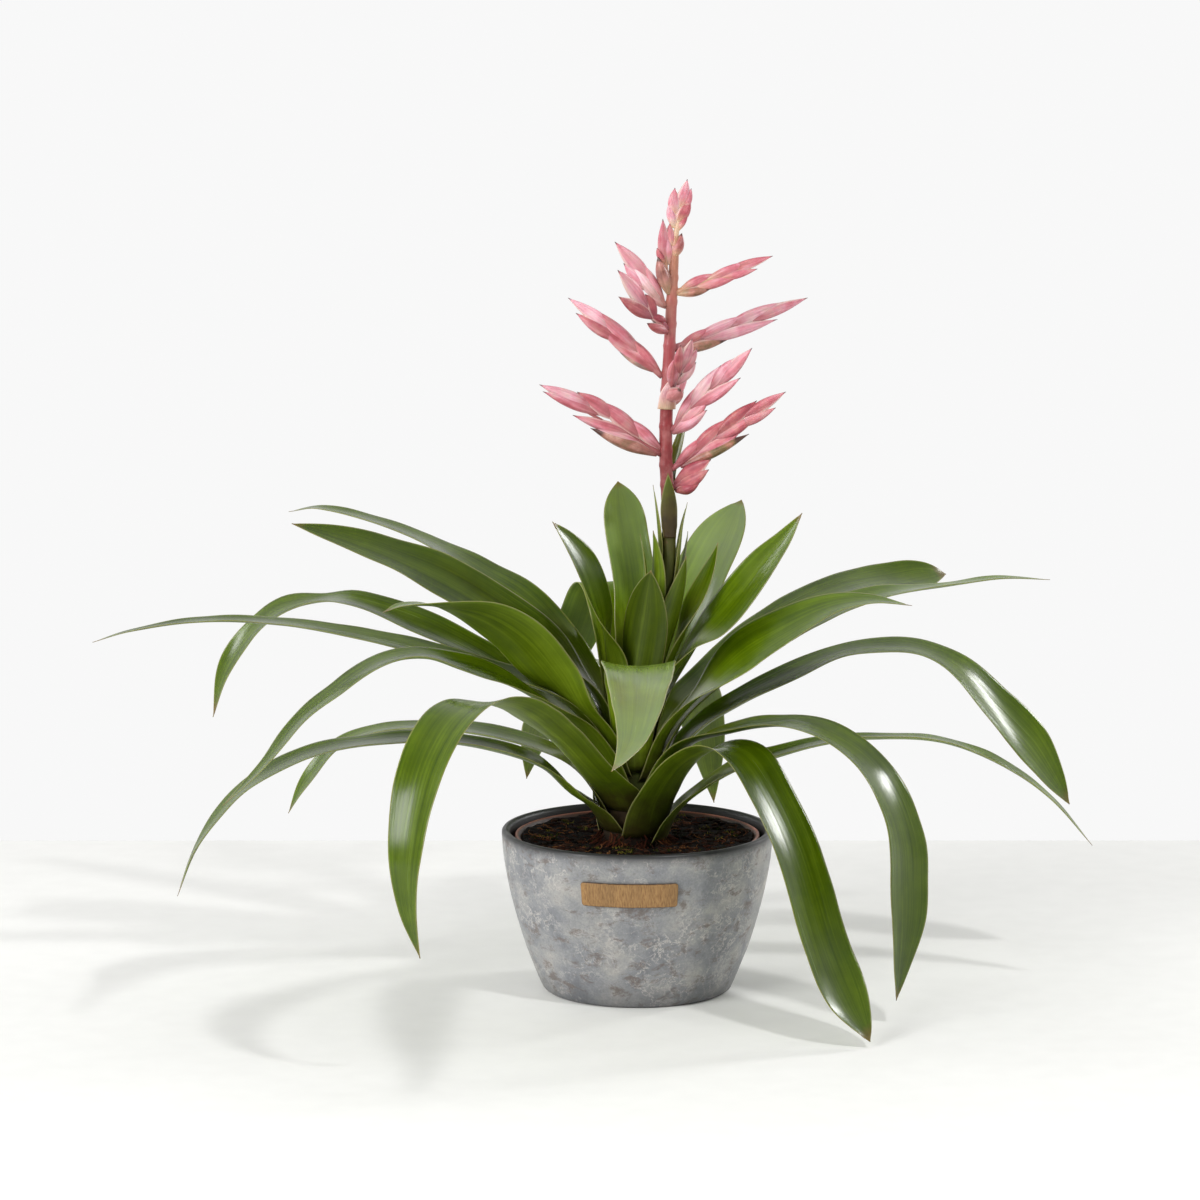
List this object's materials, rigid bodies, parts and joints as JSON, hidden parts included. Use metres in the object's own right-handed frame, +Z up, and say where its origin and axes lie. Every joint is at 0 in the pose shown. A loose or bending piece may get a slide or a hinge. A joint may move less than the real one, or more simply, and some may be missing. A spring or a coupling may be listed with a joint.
{
  "type": "potted guzmania",
  "caption": "Bromeliad with a rosette of arching strap leaves and a branched pink flower spike, in soil in a plastic nursery pot inside a round stone-effect pot.",
  "frame": {"origin": "centre of the pot's flat base, on the surface that the pot stands on", "axes": "+Z up along the pot's axis; the front with the wooden plate faces -Y; +X to the right seen from the front"},
  "size_m": [0.6055, 0.5878, 0.4996],
  "materials": {
    "pot": "matte",
    "nursery_pot": "satin",
    "soil": "matte",
    "name_plate": "satin",
    "flower_stem": "satin",
    "leaf": "satin",
    "inner_leaf": "satin",
    "stem_bract": "satin",
    "flower_spike": "satin"
  },
  "bodies": {
    "root": {"pot": "pot", "nursery_pot": "nursery_pot", "soil": "soil", "name_plate": "name_plate", "flower_stem": "flower_stem", "leaf_back_left_arch": "leaf", "leaf_back_left_low": "leaf", "leaf_back_low": "leaf", "leaf_back_right_low": "leaf", "leaf_back_right_upright": "leaf", "leaf_back_upright": "leaf", "leaf_front_left": "leaf", "leaf_front_long": "leaf", "leaf_front_right": "leaf", "leaf_left_back_low": "leaf", "leaf_left_curled": "leaf", "leaf_left_droop": "leaf", "leaf_left_front": "leaf", "leaf_left_long": "leaf", "leaf_left_low": "leaf", "leaf_left_top": "leaf", "leaf_left_top_back": "leaf", "leaf_left_upright": "leaf", "leaf_right_arch": "leaf", "leaf_right_back": "leaf", "leaf_right_high": "leaf", "leaf_right_long": "leaf", "leaf_right_low": "leaf", "leaf_right_mid": "leaf", "leaf_right_upright": "leaf", "inner_leaf_back": "inner_leaf", "inner_leaf_front": "inner_leaf", "inner_leaf_front_right": "inner_leaf", "inner_leaf_left": "inner_leaf", "inner_leaf_right": "inner_leaf", "inner_leaf_side": "inner_leaf", "leaf_front_upright": "inner_leaf", "stem_bract_back": "stem_bract", "stem_bract_front": "stem_bract", "stem_bract_left": "stem_bract", "stem_bract_right": "stem_bract", "spike_back": "flower_spike", "spike_bud": "flower_spike", "spike_front": "flower_spike", "spike_left": "flower_spike", "spike_left_front": "flower_spike", "spike_low_left": "flower_spike", "spike_low_right": "flower_spike", "spike_right": "flower_spike", "spike_right_back": "flower_spike", "spike_top": "flower_spike", "spike_top_front": "flower_spike", "spike_upper_left": "flower_spike", "spike_upper_right": "flower_spike"}
  },
  "joints": []
}
